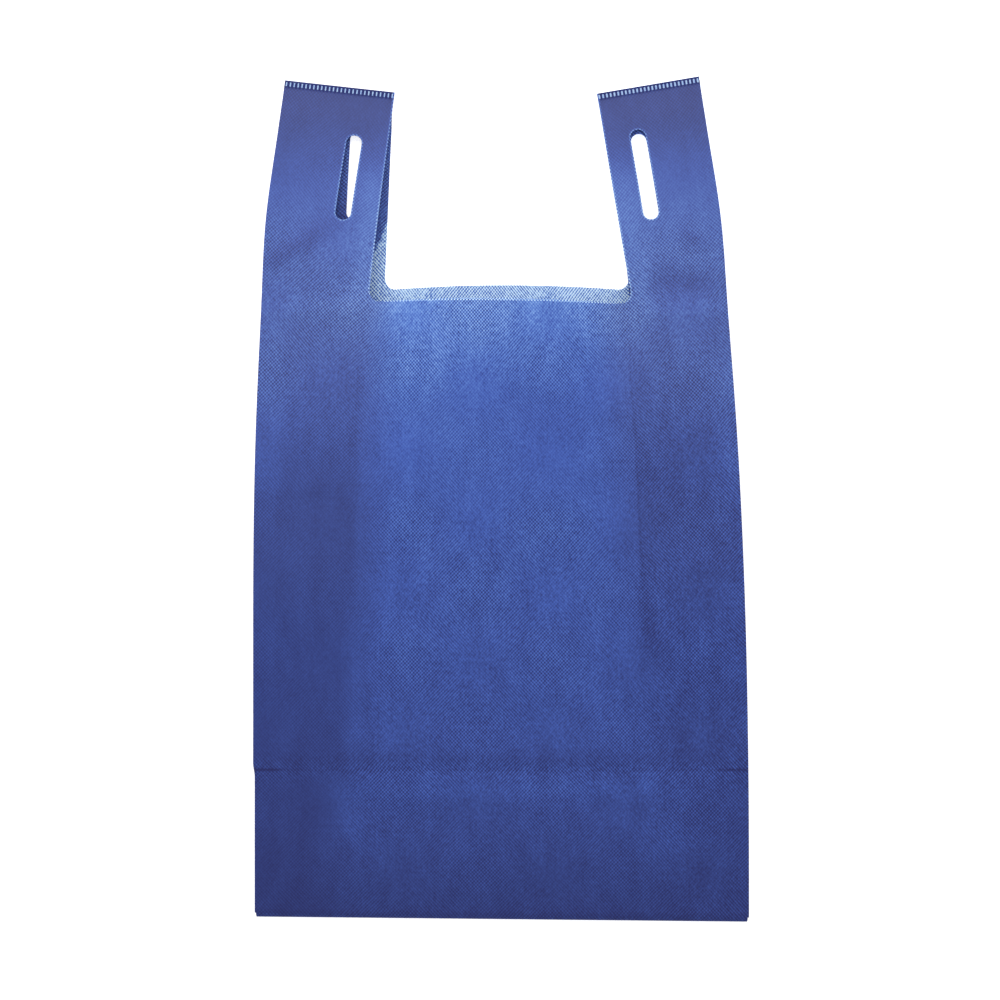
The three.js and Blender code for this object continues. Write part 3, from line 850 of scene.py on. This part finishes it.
class Nodes:
    """A new material and short ways to add its nodes."""

    def __init__(self, name):
        self.material = bpy.data.materials.new(name)
        self.material.use_nodes = True
        self.tree = self.material.node_tree
        self.tree.nodes.clear()

    def add(self, kind, **values):
        """A node of a kind with its properties set."""
        node = self.tree.nodes.new(kind)
        for name, value in values.items():
            setattr(node, name, value)
        return node

    def put(self, socket, value):
        """Links a value to a socket, or sets the socket to it when it is plain."""
        if isinstance(value, bpy.types.NodeSocket):
            self.tree.links.new(value, socket)
        elif value is not None:
            socket.default_value = value

    def fill(self, node, values):
        """Puts each value into the node's socket of that name or number, and returns the node."""
        for name, value in values.items():
            self.put(node.inputs[name], value)
        return node

    def math(self, operation, a, b=None, c=None):
        """operation(a, b, c)."""
        return self.fill(self.add("ShaderNodeMath", operation=operation), {0: a, 1: b, 2: c}).outputs[0]

    def bell(self, value, sharpness):
        """e^(-sharpness * value^2)."""
        square = self.math("MULTIPLY", value, value)
        return self.math("POWER", math.e, self.math("MULTIPLY", square, -sharpness))

    def ramp(self, value, low, high, to_low=0.0, to_high=1.0):
        """value carried smoothly from low..high to to_low..to_high."""
        node = self.add("ShaderNodeMapRange", interpolation_type="SMOOTHSTEP")
        ends = {"From Min": low, "From Max": high, "To Min": to_low, "To Max": to_high}
        return self.fill(node, {"Value": value, **ends}).outputs[0]

    def attribute(self, name):
        """A point attribute's value."""
        return self.add("ShaderNodeAttribute", attribute_name=name).outputs["Fac"]

    def noise(self, vector, scale, detail, roughness=0.5, stretch=None):
        """Noise from 0 to 1 with that many swells to the metre."""
        if stretch is not None:
            vector = self.fill(self.add("ShaderNodeMapping"), {"Vector": vector, "Scale": stretch}).outputs[0]
        values = {"Vector": vector, "Scale": scale, "Detail": detail, "Roughness": roughness}
        return self.fill(self.add("ShaderNodeTexNoise"), values).outputs["Fac"]

    def lattice(self, vector, cell, turn, shift):
        """cos(2 pi x / cell_x) cos(2 pi y / cell_y): 1 on a centred lattice's bond points, -1 between."""
        values = {"Vector": vector, "Location": (*shift, 0.0), "Rotation": (0.0, 0.0, turn)}
        mapping = self.fill(self.add("ShaderNodeMapping"), values)
        parts = self.fill(self.add("ShaderNodeSeparateXYZ"), {0: mapping.outputs[0]})
        swings = []
        for part, length in zip(parts.outputs, cell):
            angle = self.math("MULTIPLY", part, 2 * math.pi / (length * MM))
            swings.append(self.math("COSINE", angle))
        return self.math("MULTIPLY", *swings)

    def blend(self, factor, first, second):
        """A colour between two others, from the node's sockets 6 and 7 to its socket 2."""
        node = self.add("ShaderNodeMix", data_type="RGBA")
        return self.fill(node, {"Factor": factor, 6: first, 7: second}).outputs[2]

    def surface(self, values):
        """Makes a shader with these values the material's surface, and returns the material."""
        shader = self.fill(self.add("ShaderNodeBsdfPrincipled"), values)
        self.fill(self.add("ShaderNodeOutputMaterial"), {"Surface": shader.outputs[0]})
        return self.material


BOND_CELL = (2.1, 2.24)  # of the centred lattice of bond points
BENEATH_TURN = math.radians(1.4)  # how the next layer's lattice lies to the upper one's
BENEATH_SHIFT = (0.7 * MM, 0.4 * MM)
BENEATH_SHARE = 0.55
GAMMA = 2.2  # from tone to how much light the cloth gives back
RAMP = (0.20, 0.40, 0.55, 0.78, 1.0)  # the tones of the five colours

# Noises: swells to the metre, detail, roughness and stretch.
CLOUDS = (95.0, 4.0, 0.6, (1.0, 0.4, 1.0))
CLOUD_CONTRAST = 0.9
CLOUD_LEAST = 0.05
FIBRES = (600.0, 3.0, 0.7, (1.0, 0.6, 1.0))
FIBRE_SHARE = 3.2

# Painted shade along the flap's crease line.
CREASE_SHADE_WIDTH = 0.8
CREASE_SHADE_ENDS = (0.130, 0.139)  # metres from the middle line
CREASE_SHADE_DEPTH = (0.014, 0.10)  # of tone, faint and dark
FOLD_SHADOW_SHARPNESS = 4.0
RIM_RUN = (1.3, 0.3)  # millimetres from the cut, where its pale rim starts and is full
RIM_TONE = 0.16
RIM_POINTS = 0.18
LOWEST_SHARE = 0.85
LOWEST_TONE = 0.12
BOND_RUN = (0.2, 0.9)
BOND_PIT = 0.06 * MM
FIBRE_RELIEF = 0.05 * MM


def crease_shade(n, pattern):
    """Painted shade along the line the flap presses into the front: faint across it, sharp and dark at both
    ends.
    """
    parts = n.fill(n.add("ShaderNodeSeparateXYZ"), {0: pattern})
    from_middle = n.math("ABSOLUTE", parts.outputs[0])
    off = n.math("SUBTRACT", parts.outputs[1], FLAP_HEIGHT * MM)
    line = n.bell(n.math("MULTIPLY", off, 1 / (CREASE_SHADE_WIDTH * MM)), 1.0)
    return n.math("MULTIPLY", line, n.ramp(from_middle, *CREASE_SHADE_ENDS, *CREASE_SHADE_DEPTH))


def cloth_tone(n, pattern):
    """The tone: the painted light of the layers that lie together, the painted shadow lines of the fold and
    the crease, bond points, clouds and fibres.
    """
    past_edge = n.attribute("past_edge")
    tone = n.math("MULTIPLY_ADD", n.attribute("step"), n.ramp(past_edge, -1.0, 1.0), n.attribute("tone"))
    line = n.bell(past_edge, FOLD_SHADOW_SHARPNESS)
    tone = n.math("SUBTRACT", tone, n.math("MULTIPLY", line, n.attribute("fold_shadow")))
    tone = n.math("SUBTRACT", tone, crease_shade(n, pattern))
    points = n.lattice(pattern, BOND_CELL, 0.0, (0.0, 0.0))
    beneath = n.lattice(pattern, BOND_CELL, BENEATH_TURN, BENEATH_SHIFT)
    clouds = n.math("SUBTRACT", n.noise(pattern, *CLOUDS), 0.5)
    fibres = n.math("SUBTRACT", n.noise(pattern, *FIBRES), 0.5)
    contrast = n.attribute("contrast")
    weave = n.math("MULTIPLY_ADD", beneath, BENEATH_SHARE, points)
    weave = n.math("MULTIPLY_ADD", fibres, FIBRE_SHARE, weave)
    tone = n.math("MULTIPLY_ADD", weave, contrast, tone)
    cloud_share = n.math("MULTIPLY_ADD", contrast, CLOUD_CONTRAST, CLOUD_LEAST)
    tone = n.math("MULTIPLY_ADD", clouds, cloud_share, tone)
    rim_tone = n.math("MULTIPLY_ADD", points, RIM_POINTS, RIM_TONE)
    rim = n.math("MULTIPLY", n.ramp(n.attribute("from_cut"), *RIM_RUN), rim_tone)
    lowest = n.math("MAXIMUM", n.math("MULTIPLY", contrast, LOWEST_SHARE), LOWEST_TONE)
    return n.math("MAXIMUM", n.math("ADD", tone, rim), lowest), points, fibres


def nonwoven(settings):
    """Spunbond cloth: its colour from the tone, greyer with the painted sheen, and a fine relief."""
    n = Nodes("nonwoven")
    pattern = n.add("ShaderNodeUVMap", uv_map="pattern").outputs[0]
    tone, points, fibres = cloth_tone(n, pattern)
    colours = n.fill(n.add("ShaderNodeValToRGB"), {0: n.math("POWER", tone, GAMMA)})
    stops = (settings.deep, settings.blue, settings.light, settings.bright, settings.pale)
    while len(colours.color_ramp.elements) < len(stops):
        colours.color_ramp.elements.new(0.5)
    for k, colour in enumerate(stops):
        colours.color_ramp.elements[k].position = RAMP[k] ** GAMMA
        colours.color_ramp.elements[k].color = (*colour, 1.0)
    hazed = n.blend(n.attribute("painted_sheen"), colours.outputs[0], (*settings.painted_sheen, 1.0))
    fibre_height = n.math("MULTIPLY", fibres, FIBRE_RELIEF)
    relief = n.math("MULTIPLY_ADD", n.ramp(points, *BOND_RUN), -BOND_PIT, fibre_height)
    bump = n.fill(n.add("ShaderNodeBump"), {"Strength": 0.5, "Distance": 1.0, "Height": relief})
    finish = {"Roughness": 0.75, "IOR": 1.49, "Specular IOR Level": 0.1}
    return n.surface({"Base Color": hazed, "Normal": bump.outputs[0], **finish})


FILM_CLOUDS = (700.0, 2.0)
FILM_RUN = (0.2, 0.8)
FILM_ROUGHNESS = (0.25, 0.45)


def fused_film(settings):
    """Fused film in the weld's dashes: paler and smoother than the cloth round it."""
    n = Nodes("fused_film")
    clouds = n.noise(n.add("ShaderNodeTexCoord").outputs["Object"], *FILM_CLOUDS)
    colour = n.blend(clouds, (*settings.light, 1.0), (*settings.film, 1.0))
    return n.surface({"Base Color": colour, "Roughness": n.ramp(clouds, *FILM_RUN, *FILM_ROUGHNESS)})


# The weld bands, in millimetres. Rows are from the weld's start, and inwards from a dash's ends.
DASH_COLUMNS = (0.0, 0.2, 0.27, 0.33, 0.5, 0.67, 0.73, 0.8)  # shares of one dash's pitch
BAND_ROWS = (-0.8, -0.3)
DASH_ROWS = (-0.25, 0.1, 0.4)
BAND_EDGE_ROW = 0.25
BAND_PROUD = 0.02  # over the cloth's face
BAND_WIDER = 0.05  # past the bag's side
BAND_ROUND = 0.18  # how far the band's edge goes down
BAND_ROUND_REACH = 0.3
POCKET_SIDE = 0.12  # half the width of a pocket's sloping side
POCKET_OUT = 0.1  # how far outside a dash's end its pocket's slope reaches
POCKET_IN = 0.15  # and how far inside it
UNDER_POCKET = 0.5  # depth of the under face's pockets, as a share
FILM_FROM = 0.8  # the share of a pocket's depth past which a face is fused film


def weld_points(side, count):
    """A handle top's fused band: a grid for its upper and under faces, with a pocket at each dash."""
    inner = side * MOUTH_WIDTH / 2 + PUNCH_OFFSET
    outer = side * (HALF + BAND_WIDER)
    low, high = min(inner, outer), max(inner, outer)
    columns = np.arange(count)[:, None] + np.array(DASH_COLUMNS)[None, :]
    across = np.concatenate([columns.ravel(), [count]]) / count
    dash_high = BAG_HEIGHT - DASH_RIM
    dash_low = dash_high - DASH_LENGTH
    end_rows = np.array(DASH_ROWS)
    dash_rows = [dash_low + end_rows, [mix(dash_low, dash_high, 0.5)], dash_high - end_rows[::-1]]
    edge_rows = [BAG_HEIGHT - BAND_EDGE_ROW, BAG_HEIGHT]
    rows = np.concatenate([WELD_START + np.array(BAND_ROWS), *dash_rows, edge_rows])
    x = mix(low, high, across)[None, :] + np.zeros((len(rows), 1))
    y = rows[:, None] + 0 * x
    pitch = (high - low) / count
    from_middle = abs((across * count) % 1.0 - 0.5)[None, :] * pitch
    pocket = (dash_low - POCKET_OUT, dash_low + POCKET_IN, dash_high - POCKET_IN, dash_high + POCKET_OUT)
    inside = fade(DASH_WIDTH / 2 - POCKET_SIDE, DASH_WIDTH / 2 + POCKET_SIDE, from_middle) * band(*pocket, y)
    stack = 4 * FABRIC + 3 * PRESSED_GAP
    edge = np.minimum(np.minimum(x - low, high - x), BAG_HEIGHT - y)
    round_off = BAND_ROUND * fade(0.0, BAND_ROUND_REACH, edge)
    top = stack + BAND_PROUD - round_off - DASH_DEPTH * inside
    under = round_off + UNDER_POCKET * DASH_DEPTH * inside
    return x, y, top, under, inside


def weld_band(name, side, count, materials):
    """One handle top's weld, as a closed band: upper face, under face and the wall between their edges."""
    x, y, top, under, inside = weld_points(side, count)
    laid_x, laid_y = lay(x, y, np.zeros_like(x))
    off = raised(laid_x, laid_y)
    cloth = Cloth()
    upper = cloth.add(x, y, laid_x, laid_y, top + off, FRONT)
    lower = cloth.add(x, y, laid_x, laid_y, under + off, BACK)
    cloth.cover(upper)
    cloth.cover(lower[:, ::-1])
    rim = [(0, slice(None)), (slice(None), -1), (-1, slice(None, None, -1)), (slice(None, None, -1), 0)]
    for rows, columns in rim:
        cloth.cover(np.stack([lower[rows, columns], upper[rows, columns]]))
    points, faces = cloth.arrays()
    mesh = make_mesh(name, points, faces, materials[0])
    mesh.materials.append(materials[1])
    film = np.tile(inside.ravel(), 2)
    fused = (film[faces].mean(axis=1) > FILM_FROM).astype(np.int32)
    mesh.polygons.foreach_set("material_index", fused)
    mesh.set_sharp_from_angle(angle=SHARP_ANGLE)
    return place(name, mesh)


def colour_setting(name, description, default):
    """A colour that a user can change."""
    return FloatVectorProperty(name=name, description=description, default=default, size=3, subtype="COLOR")


class BagSettings(PropertyGroup):
    """Sizes and colours of the cloth that a user would change."""

    cloth: FloatProperty(
        name="Cloth", description="Thickness of one layer", default=FABRIC * MM, unit="LENGTH"
    )
    deep: colour_setting("Deep", "Cloth in shade", (0.020, 0.024, 0.108))
    blue: colour_setting("Blue", "Cloth of the body", (0.054, 0.103, 0.395))
    light: colour_setting("Light", "Cloth near the mouth", (0.11, 0.215, 0.56))
    bright: colour_setting("Bright", "A single layer", (0.300, 0.470, 0.770))
    pale: colour_setting("Pale", "The thinnest spots", (0.64, 0.83, 0.98))
    painted_sheen: colour_setting("Painted sheen", "What handles turn to", (0.13, 0.11, 0.10))
    film: colour_setting("Film", "Fused film of welds", (0.45, 0.60, 0.76))


class StudioSettings(PropertyGroup):
    """The floor, the lights and the camera."""

    floor: colour_setting("Floor", "Colour of the floor", (0.92, 0.92, 0.92))
    glow: FloatProperty(name="Glow", description="Light from the floor itself", default=0.6)
    distance: FloatProperty(name="Distance", description="Camera above the floor", default=5.0, unit="LENGTH")
    view_width: FloatProperty(
        name="View", description="Width that the camera sees", default=0.6041, unit="LENGTH"
    )
    key: FloatProperty(
        name="Key light", description="Power of the light at the handles' end", default=16.0, unit="POWER"
    )
    sky: FloatProperty(name="Sky", description="Strength of the even light from all round", default=0.8)


class BAG_OT_cloth(Operator):
    """Builds the bag's cloth: the gusseted tube with its mouth, slots, bottom fold and flap"""

    bl_idname = "bag.cloth"
    bl_label = "Cloth"

    def execute(self, context):
        settings = context.scene.bag_settings
        cloth = Cloth()
        top_numbers, top_x = tube(cloth)
        bottom(cloth, top_numbers, top_x)
        points, faces = cloth.arrays()
        mesh = make_mesh("bag_cloth", points, faces, nonwoven(settings))
        piece = place("bag_cloth", mesh)
        thicken(piece, settings.cloth)
        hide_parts(NODE)
        return {"FINISHED"}


class BAG_OT_welds(Operator):
    """Builds the dashed weld across each handle top"""

    bl_idname = "bag.welds"
    bl_label = "Handle welds"

    def execute(self, context):
        materials = (bpy.data.materials["nonwoven"], fused_film(context.scene.bag_settings))
        welds = [
            weld_band("weld_left", LEFT, DASHES_LEFT, materials),
            weld_band("weld_right", RIGHT, DASHES_RIGHT, materials),
        ]
        return {"FINISHED"}


# The studio, in metres but for the sensor, which is in millimetres as lenses are.
WHITE = (1.0, 1.0, 1.0, 1.0)
FLOOR_REACH = 4.0
FLOOR_DROP = 0.0004  # keeps the floor clear of the bag's underside
FLOOR_ROUGHNESS = 0.9
KEY_PLACE = (-0.15, 1.15, 1.05)
KEY_TARGET = (0.0, 0.05, 0.0)
KEY_SIZE = (1.3, 0.7)
SENSOR_WIDTH = 36.0
CAMERA_PLACE = (-0.0008, -0.0006)
VIEW_HEIGHT = 0.01  # above the floor, where the view is as wide as its setting says


def plain_material(name, colour, glow):
    """A plain matt colour that gives off a little light of its own."""
    material = bpy.data.materials.new(name)
    material.use_nodes = True
    shader = material.node_tree.nodes["Principled BSDF"]
    shader.inputs["Base Color"].default_value = (*colour, 1.0)
    shader.inputs["Roughness"].default_value = FLOOR_ROUGHNESS
    shader.inputs["Emission Color"].default_value = WHITE
    shader.inputs["Emission Strength"].default_value = glow
    return material


def make_floor(colour, glow):
    """A wide square floor just under the bag."""
    mesh = bpy.data.meshes.new("floor")
    turns = ((-1, -1), (1, -1), (1, 1), (-1, 1))
    corners = [(x * FLOOR_REACH, y * FLOOR_REACH, -FLOOR_DROP) for x, y in turns]
    mesh.from_pydata(corners, [], [(0, 1, 2, 3)])
    mesh.materials.append(plain_material("floor", colour, glow))
    floor = bpy.data.objects.new("floor", mesh)
    bpy.context.scene.collection.objects.link(floor)


def area_light(name, spot, target, power, size):
    """A soft rectangular light at a spot, turned to a target."""
    data = bpy.data.lights.new(name, "AREA")
    data.shape = "RECTANGLE"
    data.size, data.size_y = size
    data.energy = power
    light = bpy.data.objects.new(name, data)
    bpy.context.scene.collection.objects.link(light)
    direction = Vector(target) - Vector(spot)
    light.rotation_euler = direction.to_track_quat("-Z", "Y").to_euler()
    light.location = spot


def make_sky(strength):
    """Even white light from all round."""
    world = bpy.data.worlds.new("studio")
    world.use_nodes = True
    background = world.node_tree.nodes["Background"]
    background.inputs["Color"].default_value = WHITE
    background.inputs["Strength"].default_value = strength
    bpy.context.scene.world = world


def make_camera(distance, view_width):
    """A camera straight above the bag, with a lens of sensor * distance / width."""
    lens = bpy.data.cameras.new("camera")
    lens.type = "PERSP"
    lens.sensor_width = SENSOR_WIDTH
    lens.lens = SENSOR_WIDTH * (distance - VIEW_HEIGHT) / view_width
    camera = bpy.data.objects.new("camera", lens)
    camera.location = (*CAMERA_PLACE, distance)
    bpy.context.scene.collection.objects.link(camera)
    bpy.context.scene.camera = camera


class BAG_OT_stage(Operator):
    """Sets the floor, the soft lights and the camera that looks down on the bag"""

    bl_idname = "bag.stage"
    bl_label = "Stage"

    def execute(self, context):
        studio = context.scene.studio_settings
        make_floor(studio.floor, studio.glow)
        area_light("key", KEY_PLACE, KEY_TARGET, studio.key, KEY_SIZE)
        make_sky(studio.sky)
        make_camera(studio.distance, studio.view_width)
        context.scene.view_settings.view_transform = "Standard"
        return {"FINISHED"}


class BAG_PT_panel(Panel):
    """Lists the bag's operators and settings"""

    bl_idname = "BAG_PT_panel"
    bl_label = "Shopping bag"
    bl_space_type = "VIEW_3D"
    bl_region_type = "UI"
    bl_category = "Bag"

    def draw(self, context):
        for operator in OPERATORS:
            self.layout.operator(operator.bl_idname)
        for settings in (context.scene.bag_settings, context.scene.studio_settings):
            for name in settings.__annotations__:
                self.layout.prop(settings, name)


OPERATORS = (BAG_OT_cloth, BAG_OT_welds, BAG_OT_stage)
CLASSES = (BagSettings, StudioSettings, *OPERATORS, BAG_PT_panel)


def register():
    """Registers the classes and hangs the settings on the scene."""
    for made in CLASSES:
        bpy.utils.register_class(made)
    bpy.types.Scene.bag_settings = PointerProperty(type=BagSettings)
    bpy.types.Scene.studio_settings = PointerProperty(type=StudioSettings)


def unregister():
    """Takes the settings and the classes away again."""
    del bpy.types.Scene.studio_settings
    del bpy.types.Scene.bag_settings
    for made in reversed(CLASSES):
        bpy.utils.unregister_class(made)


def main():
    """Builds the bag and its studio."""
    register()
    bpy.ops.bag.cloth()
    bpy.ops.bag.welds()
    bpy.ops.bag.stage()


if __name__ == "__main__":
    main()
